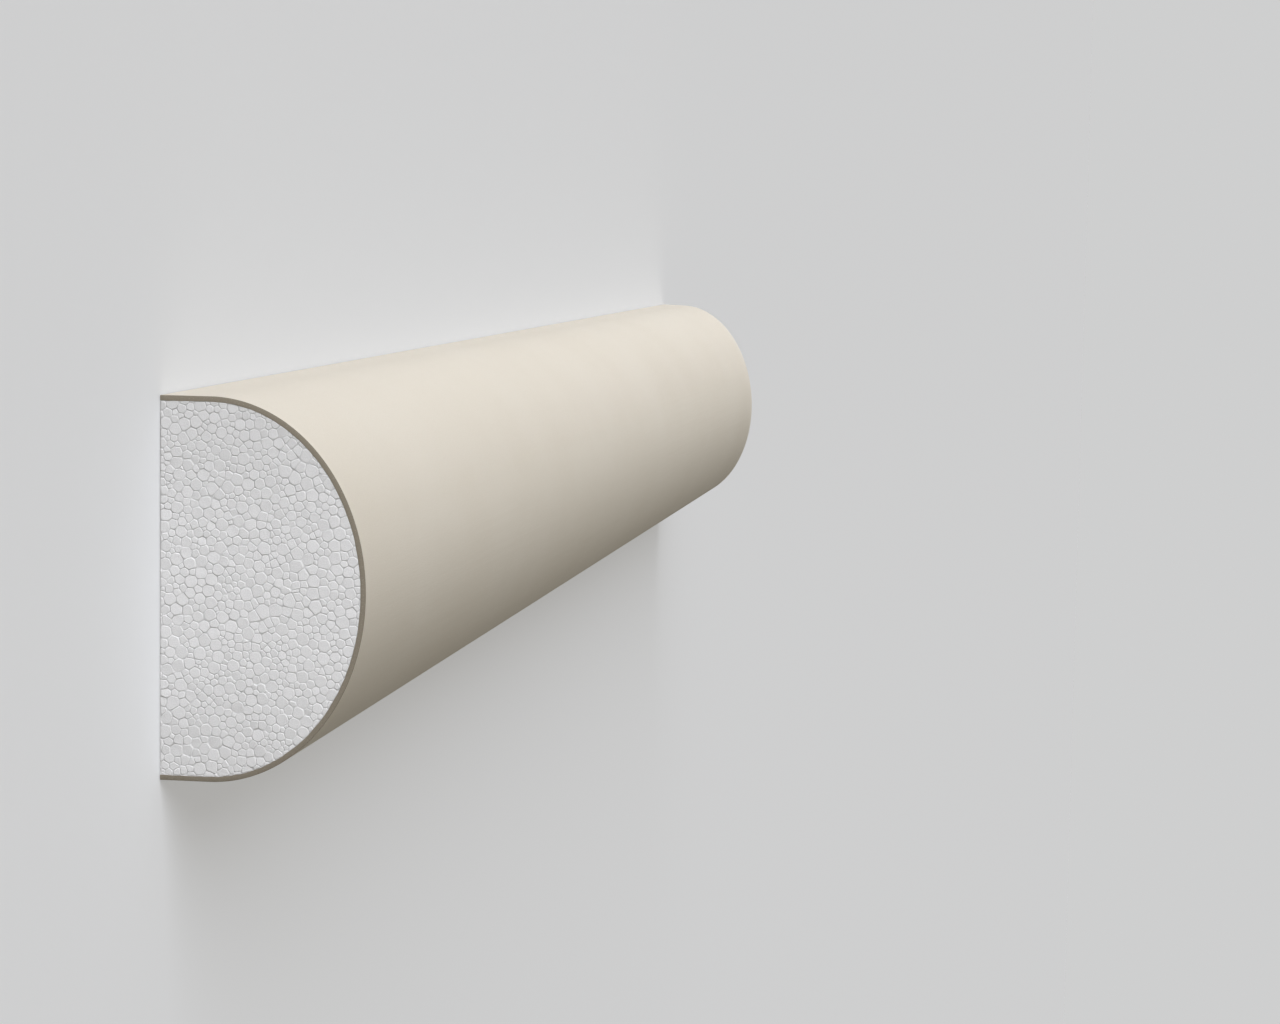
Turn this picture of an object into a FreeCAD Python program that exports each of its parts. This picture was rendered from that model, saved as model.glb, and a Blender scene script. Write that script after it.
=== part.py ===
"""One length of coated foam trim moulding, a tall half-round with one mitred end.

The length lies on its flat back. X runs along it, from the square end to the mitred end,
Y runs across the back, and Z rises from the back to the nose. The origin is the middle of
the back. All sizes are in millimetres.
"""

import FreeCAD, Part
import math
import os

from FreeCAD import Vector

# Driving dimensions of the moulding
back_length = 1740.0
face_height = 200.0
projection = 109.0

# The flat returns at the top and bottom of the face run this far before the round begins
return_depth = 26.5

# One even coat of render on the face and the returns; the back is left bare
coat_thickness = 2.7

# Angle between the mitre cut and the back: 45 for the inside corner of a square room
mitre_angle = 45.0


def square_cut(y, z):
    """The point of the square-sawn end that lies this far across the back and above it."""
    return Vector(-back_length / 2, y, z)


def mitre_cut(y, z):
    """The same point of the mitred end, which leans in over the length from the tip of the back."""
    return Vector(back_length / 2 - z / math.tan(math.radians(mitre_angle)), y, z)


def nose_arc(cut, half_width, height):
    """The half ellipse of the nose in one cut, from one return over the crown to the other."""
    centre = cut(0, return_depth)
    side = cut(half_width, return_depth)
    crown = cut(0, height)
    if side.sub(centre).Length > crown.sub(centre).Length:
        ellipse = Part.Ellipse(side, crown, centre)
        start = 0.0
    else:
        # Where the cut shows the nose deeper than it is wide, the long axis runs to the crown
        ellipse = Part.Ellipse(crown, cut(-half_width, return_depth), centre)
        start = -math.pi / 2
    return Part.ArcOfEllipse(ellipse, start, start + math.pi).toShape()


def section(cut, half_width, height):
    """The outline that a cut shows: the flat back, two square returns and the round nose."""
    return Part.Wire([
        Part.makeLine(cut(-half_width, 0), cut(half_width, 0)),
        Part.makeLine(cut(half_width, 0), cut(half_width, return_depth)),
        nose_arc(cut, half_width, height),
        Part.makeLine(cut(-half_width, return_depth), cut(-half_width, 0)),
    ])


def sawn_length(half_width, height):
    """A straight run of one section, from the square cut to the mitre cut."""
    ends = [section(cut, half_width, height) for cut in (square_cut, mitre_cut)]
    return Part.makeLoft(ends, True, True)


def foam_core():
    """The bead foam, cut to the section less one coat all round the face."""
    return sawn_length(face_height / 2 - coat_thickness, projection - coat_thickness)


def render_coat(core):
    """The coat on the returns and the nose, open at the back and at both cut ends."""
    return sawn_length(face_height / 2, projection).cut(core)


def main():
    os.makedirs("parts", exist_ok=True)
    core = foam_core()
    pieces = {"foam_core": core, "render_coat": render_coat(core)}
    for name, shape in pieces.items():
        shape.exportStep(f"parts/{name}.step")
        box = shape.optimalBoundingBox(False, False)
        print(
            f"{name}: {len(shape.Solids)} solid, valid {shape.isValid()}, {shape.Volume / 1e6:.3f} litres,"
            f" {box.XLength:.1f} x {box.YLength:.1f} x {box.ZLength:.1f} mm"
        )


main()
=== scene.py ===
import math
import random

import bmesh
import bpy
from mathutils import Matrix, Vector, noise
from mathutils.kdtree import KDTree


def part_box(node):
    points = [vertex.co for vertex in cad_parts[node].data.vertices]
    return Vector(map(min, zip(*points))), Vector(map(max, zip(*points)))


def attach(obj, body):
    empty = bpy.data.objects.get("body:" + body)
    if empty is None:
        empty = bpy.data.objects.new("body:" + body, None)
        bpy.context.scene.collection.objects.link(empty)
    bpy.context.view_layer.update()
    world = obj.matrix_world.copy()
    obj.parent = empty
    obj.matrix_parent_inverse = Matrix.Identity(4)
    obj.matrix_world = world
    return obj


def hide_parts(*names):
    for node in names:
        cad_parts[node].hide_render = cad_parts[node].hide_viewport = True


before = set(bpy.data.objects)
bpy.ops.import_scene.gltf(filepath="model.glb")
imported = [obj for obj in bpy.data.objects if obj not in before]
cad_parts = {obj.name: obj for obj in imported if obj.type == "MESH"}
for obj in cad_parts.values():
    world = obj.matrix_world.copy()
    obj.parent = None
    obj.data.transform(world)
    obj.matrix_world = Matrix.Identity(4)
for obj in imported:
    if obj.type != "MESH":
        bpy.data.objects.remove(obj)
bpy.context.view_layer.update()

scene = bpy.context.scene
print("frame loaded:", ", ".join(sorted(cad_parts)))

# The length lies on its back: x runs along it, y across the back, z out of the back
coatLow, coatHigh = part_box("render_coat")
coreLow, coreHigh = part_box("foam_core")
section = {
    "returnDepth": 0.0265,  # straight stretch of the top and bottom before the round begins
    "mitreLean": 1.0,       # the mitre leans in by as much as it rises, which is 45 degrees
}
squareCut = {"foot": Vector((coatLow.x, 0, 0)), "out": Vector((-1, 0, 0)), "across": Vector((0, -1, 0))}
mitreCut = {
    "foot": Vector((coatHigh.x, 0, 0)),
    "out": Vector((1, 0, section["mitreLean"])).normalized(),
    "across": Vector((0, 1, 0)),
}


# Turns a cut's own frame (out of the cut, across it, up it) into the part's frame
def cutMatrix(cut):
    up = cut["out"].cross(cut["across"])
    turn = Matrix((cut["out"], cut["across"], up)).transposed().to_4x4()
    return Matrix.Translation(cut["foot"]) @ turn


# A slanting cut shows the section taller than a square one does
def cutStretch(cut):
    return 1 / cut["out"].cross(cut["across"]).z


# An open run of edges up one return, over the nose and down the other, in the plane x = 0
def sectionRun(bm, halfWidth, height, noseSteps, returnSteps):
    spring = Vector((0, 0, section["returnDepth"]))
    first = bm.verts.new(spring + Vector((0, halfWidth, 0)))
    swept = bmesh.ops.spin(bm, geom=[first], cent=spring, axis=(1, 0, 0), angle=math.pi, steps=noseSteps)
    last = swept["geom_last"][0]
    nose = joinedTo(first)
    squash = (1, 1, (height - spring.z) / halfWidth)
    bmesh.ops.scale(bm, vec=squash, space=Matrix.Translation(-spring), verts=nose)
    feet = [first, last]
    for _ in range(returnSteps):
        feet = bmesh.ops.extrude_vert_indiv(bm, verts=feet)["verts"]
        bmesh.ops.translate(bm, vec=-spring / returnSteps, verts=feet)
    points = joinedTo(first)
    return points, once(e for v in points for e in v.link_edges), feet


# Each of these once, in the order met, so that every run makes the same mesh
def once(elements):
    return list(dict.fromkeys(elements))


# Every point that hangs together with this one
def joinedTo(start):
    found = [start]
    known = {start}
    for v in found:
        for neighbour in (edge.other_vert(v) for edge in v.link_edges):
            if neighbour not in known:
                known.add(neighbour)
                found.append(neighbour)
    return found


# Which way the moulding's face looks at a point, square to the length
def faceOutwards(point, halfWidth, height):
    rise = height - section["returnDepth"]
    above = max(0.0, point.z - section["returnDepth"])
    return Vector((0, point.y / halfWidth ** 2, above / rise ** 2)).normalized()


def addPiece(name, bm, materials, node):
    mesh = bpy.data.meshes.new(name)
    bm.to_mesh(mesh)
    bm.free()
    for material in materials:
        mesh.materials.append(material)
    piece = bpy.data.objects.new(name, mesh)
    scene.collection.objects.link(piece)
    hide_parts(node)
    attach(piece, "root")
    triangles = sum(len(polygon.vertices) - 2 for polygon in mesh.polygons)
    print(f"{name}: {len(mesh.vertices)} points, {triangles} triangles")
    return piece


# Materials

def newMaterial(name, roughness, specular):
    material = bpy.data.materials.new(name)
    material.use_nodes = True
    shader = material.node_tree.nodes["Principled BSDF"]
    shader.inputs["Roughness"].default_value = roughness
    shader.inputs["Specular IOR Level"].default_value = specular
    return material, material.node_tree, shader


# Adds a node with its settings, values for its sockets, and links into them
def addNode(tree, kind, settings=None, **inputs):
    node = tree.nodes.new(kind)
    for key, value in (settings or {}).items():
        setattr(node, key, value)
    for key, value in inputs.items():
        socket = node.inputs[int(key[1:])] if key[0] == "i" and key[1:].isdigit() else node.inputs[key]
        if isinstance(value, bpy.types.NodeSocket):
            tree.links.new(value, socket)
        else:
            socket.default_value = value
    return node


def objectPoints(tree, scale):
    where = addNode(tree, "ShaderNodeTexCoord")
    return addNode(tree, "ShaderNodeMapping", i0=where.outputs["Object"], Scale=scale).outputs[0]


def noiseOn(tree, points, scale, detail, rough=0.5):
    made = addNode(tree, "ShaderNodeTexNoise", Vector=points, Scale=scale, Detail=detail, Roughness=rough)
    return made.outputs[0]


def maths(tree, operation, first, second=0.0):
    return addNode(tree, "ShaderNodeMath", {"operation": operation}, i0=first, i1=second).outputs[0]


def spread(tree, value, low, high, toLow, toHigh):
    return addNode(tree, "ShaderNodeMapRange", i0=value, i1=low, i2=high, i3=toLow, i4=toHigh).outputs[0]


def mixColours(tree, factor, first, second):
    mix = addNode(tree, "ShaderNodeMix", {"data_type": "RGBA"}, i0=factor, i6=first, i7=second)
    return mix.outputs[2]


def bumpFrom(tree, height, distance, under=None):
    bump = addNode(tree, "ShaderNodeBump", Height=height, Distance=distance, Strength=1.0)
    if under is not None:
        tree.links.new(under, bump.inputs["Normal"])
    return bump.outputs[0]


def fromScreen(red, green, blue):
    def linear(c):
        c = c / 255
        return c / 12.92 if c <= 0.04045 else ((c + 0.055) / 1.055) ** 2.4
    return (linear(red), linear(green), linear(blue), 1)


# The coat's colours, how many specks of each kind lie along a metre, and how deep their relief is
render = {
    "cream": fromScreen(233, 227, 215),
    "creamDeep": fromScreen(227, 220, 206),
    "cut": fromScreen(151, 143, 128),
    "cutDeep": fromScreen(136, 128, 114),
    "grain": fromScreen(166, 159, 146),
    "clouds": 9.0,
    "sand": 1500.0,
    "sandRelief": 0.00016,
    "drag": 190.0,
    "dragRelief": 0.00012,
    "dragStretch": 0.02,
    "mortar": 1600.0,
    "mortarRelief": 0.00015,
    "grains": 1100.0,
    "grainSize": (0.16, 0.26),   # share of the way to the next grain, solid up to here and gone from there
    "grainsShown": (0.55, 0.6),  # the rest of the grains keep the mortar's colour
}


def creamRender():
    material, tree, shader = newMaterial("cream render", roughness=0.82, specular=0.3)
    evenly = objectPoints(tree, (1, 1, 1))
    dragged = objectPoints(tree, (render["dragStretch"], 1, 1))  # the coat is drawn on along the length
    cloud = noiseOn(tree, evenly, render["clouds"], 4)
    sand = noiseOn(tree, evenly, render["sand"], 4, 0.6)
    drag = noiseOn(tree, dragged, render["drag"], 4)
    tone = maths(tree, "ADD", spread(tree, cloud, 0.3, 0.7, 0, 0.4), spread(tree, sand, 0.35, 0.65, 0, 0.6))
    colour = mixColours(tree, tone, render["cream"], render["creamDeep"])
    tree.links.new(colour, shader.inputs["Base Color"])
    lines = bumpFrom(tree, drag, render["dragRelief"])
    tree.links.new(bumpFrom(tree, sand, render["sandRelief"], under=lines), shader.inputs["Normal"])
    return material


# The saw lays bare the grey-brown mortar and the sand grains in it
def cutRender():
    material, tree, shader = newMaterial("sawn render", roughness=0.9, specular=0.2)
    evenly = objectPoints(tree, (1, 1, 1))
    mortar = noiseOn(tree, evenly, render["mortar"], 4, 0.7)
    grains = addNode(tree, "ShaderNodeTexVoronoi", Vector=evenly, Scale=render["grains"])
    grain = spread(tree, grains.outputs["Distance"], *render["grainSize"], 1, 0)
    kind = addNode(tree, "ShaderNodeSeparateColor", Color=grains.outputs["Color"]).outputs[0]
    shown = maths(tree, "MULTIPLY", grain, spread(tree, kind, *render["grainsShown"], 0, 1))
    ground = mixColours(tree, spread(tree, mortar, 0.3, 0.7, 0, 1), render["cut"], render["cutDeep"])
    tree.links.new(mixColours(tree, shown, ground, render["grain"]), shader.inputs["Base Color"])
    tree.links.new(bumpFrom(tree, mortar, render["mortarRelief"]), shader.inputs["Normal"])
    return material


# The foam's colours, and its pores and lines in the same way; the beads here are those of the back
foam = {
    "crown": fromScreen(249, 249, 249),
    # the seams' colour: partly dirt in the seams and partly painted shade darkening the grooves
    "groove": fromScreen(210, 210, 210),
    # painted shade: the colour the sawn face is darkened to towards the two returns
    "paintedShadeColour": fromScreen(211, 211, 210),
    "paintedShade": 0.45,                # painted shade: how much the sawn face is darkened at its most
    "paintedShadeAcross": (0.03, 0.1),   # the painted shade sets in and is at its most this far from the middle
    "paintedShadeClouds": 22.0,
    "sawnPores": 1300.0,
    "sawnRelief": 0.00018,
    "beads": 230.0,
    "beadsUneven": 0.8,
    "seam": (0.01, 0.07),        # share of the way into a bead, darkest up to here and gone from there
    "seamRelief": 0.0002,
    "wirePores": 900.0,
    "wireLines": 400.0,
    "wireRelief": 0.00008,
    "wireStretch": 0.01,
}


def sawnFoam():
    material, tree, shader = newMaterial("sawn bead foam", roughness=0.75, specular=0.3)
    evenly = objectPoints(tree, (1, 1, 1))
    tone = addNode(tree, "ShaderNodeAttribute", {"attribute_name": "beadTone"}).outputs["Fac"]
    pores = noiseOn(tree, evenly, foam["sawnPores"], 4, 0.8)
    mottled = maths(tree, "MULTIPLY", tone, spread(tree, pores, 0.35, 0.65, 0.7, 1.0))
    # Painted shade: the sawn face is darkened towards the two returns, unevenly in soft patches
    across = addNode(tree, "ShaderNodeSeparateXYZ", i0=evenly).outputs[1]
    near = spread(tree, maths(tree, "ABSOLUTE", across), *foam["paintedShadeAcross"], 0, foam["paintedShade"])
    cloud = noiseOn(tree, evenly, foam["paintedShadeClouds"], 3)
    paintedShade = maths(tree, "MULTIPLY", near, spread(tree, cloud, 0.3, 0.7, 0.5, 1.0))
    clean = mixColours(tree, mottled, foam["groove"], foam["crown"])
    tree.links.new(mixColours(tree, paintedShade, clean, foam["paintedShadeColour"]), shader.inputs["Base Color"])
    tree.links.new(bumpFrom(tree, pores, foam["sawnRelief"]), shader.inputs["Normal"])
    return material


# The hot wire slices the back's beads flat and leaves faint lines along the length
def wireCutFoam():
    material, tree, shader = newMaterial("wire-cut bead foam", roughness=0.7, specular=0.3)
    evenly = objectPoints(tree, (1, 1, 1))
    dragged = objectPoints(tree, (foam["wireStretch"], 1, 1))
    cells = {"Vector": evenly, "Scale": foam["beads"], "Randomness": foam["beadsUneven"]}
    each = addNode(tree, "ShaderNodeTexVoronoi", {"voronoi_dimensions": "2D"}, **cells)
    toEdge = {"voronoi_dimensions": "2D", "feature": "DISTANCE_TO_EDGE"}
    edges = addNode(tree, "ShaderNodeTexVoronoi", toEdge, **cells)
    shade = addNode(tree, "ShaderNodeSeparateColor", Color=each.outputs["Color"]).outputs[0]
    pores = noiseOn(tree, evenly, foam["wirePores"], 5, 0.75)
    lines = noiseOn(tree, dragged, foam["wireLines"], 2)
    seam = spread(tree, edges.outputs["Distance"], *foam["seam"], 0.4, 1.0)
    mottle = spread(tree, pores, 0.35, 0.65, 0.7, 1.0)
    fill = maths(tree, "MULTIPLY", spread(tree, shade, 0, 1, 0.85, 1.0), mottle)
    tone = maths(tree, "MULTIPLY", seam, fill)
    tree.links.new(mixColours(tree, tone, foam["groove"], foam["crown"]), shader.inputs["Base Color"])
    ridges = bumpFrom(tree, lines, foam["wireRelief"])
    grooves = bumpFrom(tree, seam, foam["seamRelief"], under=ridges)
    tree.links.new(bumpFrom(tree, pores, foam["wireRelief"], under=grooves), shader.inputs["Normal"])
    return material


# Bead foam: one closed block whose two sawn ends show every bead

beads = {
    "seed": 5,
    "usual": 0.0046,         # across one bead
    "variety": 0.33,
    "smallest": 0.0018,
    "largest": 0.0068,
    "reach": 1.2,            # how far a bead fills a gap, as a share of the largest bead
    "swellSteps": 45,
    "push": 0.35,
    "weld": 0.00004,         # corners of neighbours closer than this become one
    "groove": 0.0004,        # usual depth of the seams between beads
    "grooveRange": (0.5, 1.4),
    "seamPatch": 0.006,      # seams run deeper and darker in patches of this size
    "edgeGap": (0.00015, 0.0007),  # the outermost seam keeps this far inside the edge of either cut
    "fray": 0.00006,         # how unevenly that seam runs
    "sliver": 0.00035,       # a bead with less than this to either side of its middle has broken out
    "rimSink": 0.00015,      # the block's own edges stand back this far from its tops
    "rings": [(0.00015, 0.00018, 0.8), (0.0003, 0.0, 1.0)],  # how far in, how deep, and how light
    "leastShare": 0.4,       # a small bead's top keeps at least this much of its width
    "roundness": 0.5,
    "sink": 0.0001,          # how unevenly the beads stand
    "tilt": 0.045,
    "shade": (0.94, 1.0),    # how unevenly light they are
    "edgeCuts": (2, 1),      # extra points on each bead's straight sides
    "noseSteps": 56,
    "returnSteps": 3,
    "crease": 25.0,          # sharper edges than this stay sharp
}


# Beads swell and push each other apart until they fill the face and a margin round it
def packBeads(width, height, rng):
    margin = beads["largest"]
    low, high = Vector((0, -width / 2 - margin, -margin)), Vector((0, width / 2 + margin, height + margin))
    spots, radii = [], []
    left = (high.y - low.y) * (high.z - low.z)
    while left > 0:
        size = beads["usual"] * math.exp(rng.gauss(0, beads["variety"]))
        radii.append(min(beads["largest"], max(beads["smallest"], size)) / 2)
        spots.append(Vector((0, rng.uniform(low.y, high.y), rng.uniform(low.z, high.z))))
        left -= math.pi * radii[-1] ** 2
    for _ in range(beads["swellSteps"]):
        tree = treeOf(spots)
        moved = []
        for index, spot in enumerate(spots):
            push = Vector()
            for other, number, away in tree.find_range(spot, radii[index] + beads["largest"] / 2):
                overlap = radii[index] + radii[number] - away
                if overlap > 0 and number != index:
                    push += (spot - other) * overlap / max(away, 1e-6)
            spot = spot + push * beads["push"]
            moved.append(Vector((0, min(high.y, max(low.y, spot.y)), min(high.z, max(low.z, spot.z)))))
        spots = moved
    return spots, radii


def treeOf(spots):
    tree = KDTree(len(spots))
    for index, spot in enumerate(spots):
        tree.insert(spot, index)
    tree.balance()
    return tree


# Adds one bead's outline: an eight-sided disc cut back to its neighbours and to the edge of the block
def addOutline(bm, centre, planes, reach, edgeCuts, carrier):
    cell = bmesh.new()
    place = Matrix.Translation(centre) @ Matrix.Rotation(math.pi / 2, 4, "Y")
    bmesh.ops.create_circle(cell, cap_ends=True, radius=reach, segments=8, matrix=place)
    for distance, point, normal in sorted(planes, key=lambda plane: plane[0]):
        if not cell.faces or distance > max((v.co - centre).length for v in cell.verts):
            break
        whole = cell.verts[:] + cell.edges[:] + cell.faces[:]
        bmesh.ops.bisect_plane(cell, geom=whole, dist=1e-7, plane_co=point, plane_no=normal, clear_outer=True)
    if cell.faces:
        bmesh.ops.bisect_edges(cell, edges=cell.edges, cuts=edgeCuts)
        cell.to_mesh(carrier)
        bm.from_mesh(carrier)
    cell.free()


# All bead outlines of one cut, in the cut's own frame
def addNet(bm, cut, ring, edgeGap, edgeCuts, rng):
    stretch = cutStretch(cut)
    spots, radii = packBeads(2 * coreHigh.y, coreHigh.z * stretch, rng)
    tree = treeOf(spots)
    reach = beads["largest"] * beads["reach"]
    middleOfCut = Vector((0, 0, coreHigh.z * stretch / 2))
    edges = []
    for edge in ring:
        a, b = (v.co for v in edge.verts)
        middle = (a + b) / 2
        normal = Vector((0, b.z - a.z, a.y - b.y)).normalized()
        if normal.dot(middle - middleOfCut) < 0:
            normal.negate()
        edges.append((middle - normal * edgeGap, normal))
    carrier = bpy.data.meshes.new("outline")
    for index, centre in enumerate(spots):
        planes = []
        for other, number, away in tree.find_range(centre, 2 * reach):
            if number != index:
                share = 0.5 + (radii[index] ** 2 - radii[number] ** 2) / (2 * away ** 2)
                planes.append((away * share, centre.lerp(other, share), (other - centre).normalized()))
        for point, normal in edges:
            distance = (point - centre).dot(normal)
            if distance < reach:
                planes.append((distance, point, normal))
        addOutline(bm, centre, planes, reach, edgeCuts, carrier)
    bpy.data.meshes.remove(carrier)


# Draws a bead's top in by a fixed width, rounds its corners and sets its height and tilt
def liftBead(top, centre, inset, height, tilt, tone, toneLayer):
    spokes = [Vector((0, v.co.y - centre.y, v.co.z - centre.z)) for v in top.verts]
    mean = sum(spoke.length for spoke in spokes) / len(spokes)
    for v, spoke in zip(top.verts, spokes):
        length = max(spoke.length, 1e-6)
        wanted = length - inset - beads["roundness"] * max(0, length - mean)
        v.co = centre + spoke * max(wanted / length, beads["leastShare"])
        v.co.x = min(0.0, height + spoke.dot(tilt))
        v[toneLayer] = tone


# Half a face's usual width, whatever its length
def slimness(face):
    return 2 * face.calc_area() / face.calc_perimeter()


# Fills one cut with sunken cells, out to the ring of edges round the block's end
def addCells(bm, cut, ring, edgeGap, edgeCuts, rng):
    toneLayer = bm.verts.layers.float["beadTone"]
    before, beforePoints = set(bm.faces), set(bm.verts)
    addNet(bm, cut, ring, edgeGap, edgeCuts, rng)
    bmesh.ops.remove_doubles(bm, verts=[v for v in bm.verts if v not in beforePoints], dist=beads["weld"])
    slivers = [face for face in bm.faces if face not in before and slimness(face) < beads["sliver"]]
    bmesh.ops.delete(bm, geom=slivers, context="FACES")
    cells = [face for face in bm.faces if face not in before]
    shallow, deep = beads["grooveRange"]
    # The net sinks to the seams and takes the groove colour, darker where it runs deeper: partly dirt and
    # partly painted shade
    for v in once(v for cell in cells for v in cell.verts):
        patch = 0.5 + noise.noise(v.co / beads["seamPatch"])
        v.co.x = -beads["groove"] * min(deep, max(shallow, 0.5 + patch))
        v[toneLayer] = max(0.0, 0.5 - patch)
    rim = once(e for cell in cells for e in cell.edges if e.is_boundary)
    middleOfCut = Vector((0, 0, coreHigh.z * cutStretch(cut) / 2))
    for v in once(v for e in rim for v in e.verts):
        v.co += (middleOfCut - v.co).normalized() * beads["fray"] * rng.random()
    bmesh.ops.triangle_fill(bm, use_beauty=True, edges=rim + ring, normal=(1, 0, 0))
    return cells


# Raises a bead out of each cell, and leaves the net between them as the seams
def raiseBeads(bm, cells, rng):
    toneLayer, beadLayer = bm.verts.layers.float["beadTone"], bm.faces.layers.int["bead"]
    manners = []
    for cell in cells:
        cell[beadLayer] = len(manners)
        tilt = Vector((0, rng.gauss(0, 1), rng.gauss(0, 1))) * beads["tilt"]
        sink = -beads["sink"] * rng.random()
        manners.append((cell.calc_center_median(), sink, tilt, rng.uniform(*beads["shade"])))
    tops = cells
    for inset, depth, tone in beads["rings"]:
        tops = bmesh.ops.extrude_discrete_faces(bm, faces=tops)["faces"]
        for top in tops:
            centre, sink, tilt, shade = manners[top[beadLayer]]
            liftBead(top, centre, inset, sink - depth, tilt, tone * shade, toneLayer)
    for edge in once(e for top in tops for e in top.edges):
        edge.smooth = False
    bmesh.ops.poke(bm, faces=tops)
    print("beads on a cut:", len(manners))


def makeFoamBlock():
    rng = random.Random(beads["seed"])
    bm = bmesh.new()
    bm.verts.layers.float.new("beadTone")
    beadLayer = bm.faces.layers.int.new("bead")
    rings = []
    for cut, edgeGap, edgeCuts in zip((squareCut, mitreCut), beads["edgeGap"], beads["edgeCuts"]):
        before = set(bm.verts)
        points, ring, feet = sectionRun(bm, coreHigh.y, coreHigh.z, beads["noseSteps"], beads["returnSteps"])
        ring += bmesh.ops.contextual_create(bm, geom=feet)["edges"]
        bmesh.ops.scale(bm, vec=(1, 1, cutStretch(cut)), verts=points)
        raiseBeads(bm, addCells(bm, cut, ring, edgeGap, edgeCuts, rng), rng)
        bmesh.ops.transform(bm, matrix=cutMatrix(cut), verts=[v for v in bm.verts if v not in before])
        inwards = math.copysign(beads["rimSink"], -cut["out"].x)
        bmesh.ops.translate(bm, vec=(inwards, 0, 0), verts=points)
        rings += ring
    bm.faces.layers.int.remove(beadLayer)
    walls = bmesh.ops.bridge_loops(bm, edges=rings)["faces"]
    bmesh.ops.recalc_face_normals(bm, faces=bm.faces)
    for face in bm.faces:
        face.smooth = True
    for face in walls:
        face.material_index = 1
        for edge in face.edges:
            if edge.calc_face_angle(0) > math.radians(beads["crease"]):
                edge.smooth = False
    return addPiece("bead_foam_block", bm, [sawnFoam(), wireCutFoam()], "foam_core")


# Render coat: a thin shell drawn over the returns and the nose, sawn through with the foam

coat = {
    "noseSteps": 150,
    "returnSteps": 12,
    "lengthCuts": 90,
    "wave": 0.00018,        # how far the face dips between its high spots
    "waveLength": (0.30, 0.06, 0.06),
    "scallop": 0.00022,     # the coat keys into the foam's uneven edge
    "scallopWidth": 0.0035,
    "arris": 0.00035,       # the sawn edges are lightly rubbed down
    "arrisAngle": 40.0,     # edges sharper than this are rubbed
    "crease": 25.0,         # and of the rest, edges sharper than this stay sharp
    "drawn": 0.6,           # a face that looks outwards by this much or more is part of the drawn face
    "sawn": 0.35,           # unless it looks along the length by this much or more
}


def makeCoat():
    bm = bmesh.new()
    skin = bm.verts.layers.int.new("skin")
    outer, outerRun, _ = sectionRun(bm, coatHigh.y, coatHigh.z, coat["noseSteps"], coat["returnSteps"])
    for v in outer:
        v[skin] = 1
    inner, innerRun, _ = sectionRun(bm, coreHigh.y, coreHigh.z, coat["noseSteps"], coat["returnSteps"])
    band = bmesh.ops.bridge_loops(bm, edges=outerRun + innerRun)["faces"]
    far = bmesh.ops.extrude_face_region(bm, geom=band)["geom"]
    farPoints = [v for v in far if isinstance(v, bmesh.types.BMVert)]
    for v in bm.verts:
        v.co.x = squareCut["foot"].x
    for v in farPoints:
        v.co.x = mitreCut["foot"].x - section["mitreLean"] * v.co.z
    # The two cuts show how the coat follows the beads
    for v in bm.verts:
        if not v[skin]:
            step = noise.noise(v.co / coat["scallopWidth"])
            v.co -= faceOutwards(v.co, coreHigh.y, coreHigh.z) * coat["scallop"] * max(0.0, 0.5 + step)
            v.co.z = max(0.0, v.co.z)
    farSet = set(farPoints)
    along = []
    for edge in bm.edges:
        a, b = edge.verts
        if a[skin] and b[skin] and (a in farSet) != (b in farSet):
            along.append(edge)
    bmesh.ops.subdivide_edges(bm, edges=along, cuts=coat["lengthCuts"])
    for v in bm.verts:
        if v[skin]:
            place = Vector(v.co[i] / coat["waveLength"][i] for i in range(3))
            dip = coat["wave"] * (0.5 + 0.5 * noise.noise(place))
            v.co -= faceOutwards(v.co, coatHigh.y, coatHigh.z) * max(0.0, dip)
    bmesh.ops.recalc_face_normals(bm, faces=bm.faces)
    sharp = [e for e in bm.edges if e.calc_face_angle(0) > math.radians(coat["arrisAngle"])]
    arrises = [e for e in sharp if all(v[skin] for v in e.verts)]
    width = coat["arris"]
    bmesh.ops.bevel(bm, geom=arrises, offset=width, segments=2, profile=0.5, affect="EDGES", material=-1)
    for face in bm.faces:
        middle = face.calc_center_median()
        outwards = faceOutwards(middle, coatHigh.y, coatHigh.z)
        face.smooth = True
        drawn = face.normal.dot(outwards) > coat["drawn"] and abs(face.normal.x) < coat["sawn"]
        face.material_index = 0 if drawn else 1
    for edge in bm.edges:
        kinds = {f.material_index for f in edge.link_faces}
        edge.smooth = len(kinds) == 1 and edge.calc_face_angle(0) < math.radians(coat["crease"])
    return addPiece("render_shell", bm, [creamRender(), cutRender()], "render_coat")


# Stage

# The photo shows the moulding on a wall, so the camera lies on its side
view = {
    "spot": (-2.4126, 0.1970, 0.4911),
    "aim": (-0.4457, 0.0059, 0.1835),
    "upward": (0.0920, 0.9953, -0.0297),
    "lens": 87.9,
    "sensor": 36.0,
}


def addCamera():
    camera = bpy.data.cameras.new("camera")
    camera.lens, camera.sensor_width = view["lens"], view["sensor"]
    holder = bpy.data.objects.new("camera", camera)
    spot, aim = Vector(view["spot"]), Vector(view["aim"])
    forward = (aim - spot).normalized()
    right = forward.cross(Vector(view["upward"])).normalized()
    turn = Matrix((right, right.cross(forward), -forward)).transposed()
    holder.matrix_world = Matrix.Translation(spot) @ turn.to_4x4()
    scene.collection.objects.link(holder)
    scene.camera = holder


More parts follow.
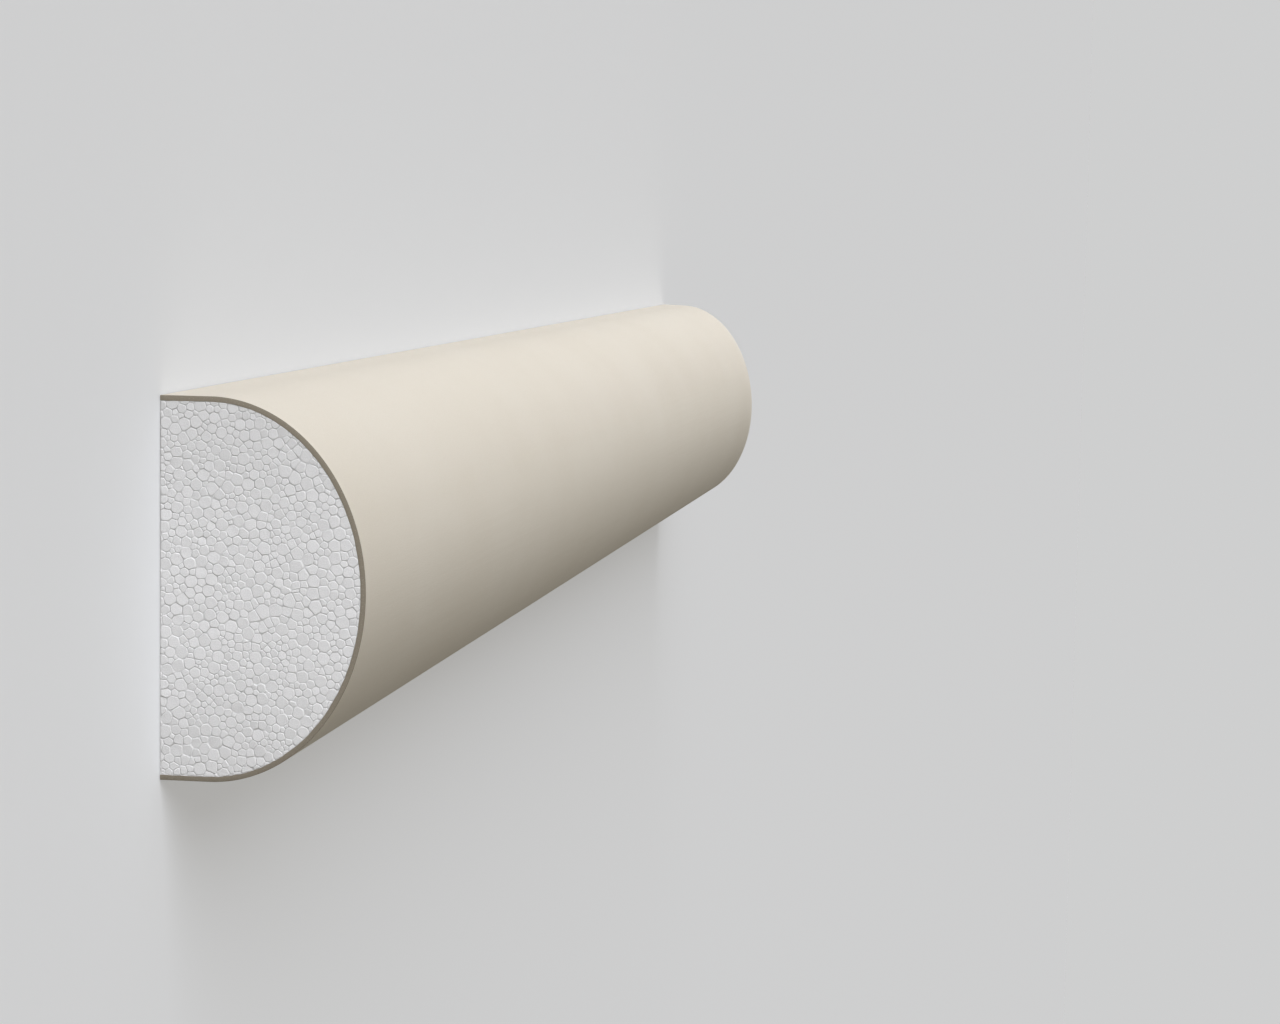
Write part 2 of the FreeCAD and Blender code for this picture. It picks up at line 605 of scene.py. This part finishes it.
stage = {
    "floorSeen": fromScreen(195, 197.5, 201),  # what the camera sees
    "floorGlow": 0.31,                         # lifts the seen floor, and lights nothing
    "floorFelt": fromScreen(150, 150, 150),    # what the object is lit by
    "backdrop": fromScreen(206.5, 206.9, 207.0),
    "size": 60.0,
    "clearance": 0.0003,
    "ambientColour": (1.0, 0.925, 0.78, 1),
    "ambient": 0.222,
    "sunColour": (0.95, 0.96, 1.0),
    "sun": 3.68,
    "sunAngle": 60.0,
    "sunFrom": (-0.61, 0.8, 0.31),
    "fillColour": (1.0, 0.99, 0.97),
    "fill": 1.0,
    "fillAngle": 8.0,
    "fillFrom": (1, 0, 0),                     # runs along the length, to reach the mitred end
}


# One for the rays that show the backdrop itself, nought for those that light the object
def seenDirectly(tree):
    ray = addNode(tree, "ShaderNodeLightPath").outputs
    sharp = maths(tree, "MAXIMUM", ray["Is Glossy Ray"], ray["Is Transmission Ray"])
    return maths(tree, "MAXIMUM", ray["Is Camera Ray"], sharp)


def addFloor():
    bm = bmesh.new()
    bmesh.ops.create_grid(bm, x_segments=1, y_segments=1, size=stage["size"] / 2)
    bmesh.ops.translate(bm, vec=(0, 0, -stage["clearance"]), verts=bm.verts)
    mesh = bpy.data.meshes.new("floor")
    bm.to_mesh(mesh)
    bm.free()
    material, tree, shader = newMaterial("pale floor", roughness=1.0, specular=0.0)
    seen = seenDirectly(tree)
    colour = mixColours(tree, seen, stage["floorFelt"], stage["floorSeen"])
    tree.links.new(colour, shader.inputs["Base Color"])
    shader.inputs["Emission Color"].default_value = (1, 1, 1, 1)
    glow = maths(tree, "MULTIPLY", seen, stage["floorGlow"])
    tree.links.new(glow, shader.inputs["Emission Strength"])
    mesh.materials.append(material)
    floor = bpy.data.objects.new("floor", mesh)
    scene.collection.objects.link(floor)


# A lamp for the whole stage, or one that leaves out everything but these pieces
def addLamp(name, pieces=()):
    lamp = bpy.data.lights.new(name, "SUN")
    lamp.energy = stage[name]
    lamp.angle = math.radians(stage[name + "Angle"])
    lamp.color = stage[name + "Colour"]
    holder = bpy.data.objects.new(name, lamp)
    holder.rotation_euler = Vector(stage[name + "From"]).to_track_quat("Z", "Y").to_euler()
    scene.collection.objects.link(holder)
    if pieces:
        lit = bpy.data.collections.new("lit by " + name)
        for piece in pieces:
            lit.objects.link(piece)
        holder.light_linking.receiver_collection = lit
        holder.light_linking.blocker_collection = lit


def addWorld():
    world = bpy.data.worlds.new("studio")
    scene.world = world
    world.use_nodes = True
    tree = world.node_tree
    ambient = tree.nodes["Background"]
    ambient.inputs["Strength"].default_value = stage["ambient"]
    ambient.inputs["Color"].default_value = stage["ambientColour"]
    seen = addNode(tree, "ShaderNodeBackground", Color=stage["backdrop"], Strength=1.0)
    mix = addNode(tree, "ShaderNodeMixShader", i0=seenDirectly(tree))
    tree.links.new(ambient.outputs[0], mix.inputs[1])
    tree.links.new(seen.outputs[0], mix.inputs[2])
    tree.links.new(mix.outputs[0], tree.nodes["World Output"].inputs["Surface"])


addCamera()
addFloor()
addLamp("sun")
addWorld()
print("stage set")
addLamp("fill", [makeFoamBlock(), makeCoat()])

scene.view_settings.view_transform = "Standard"
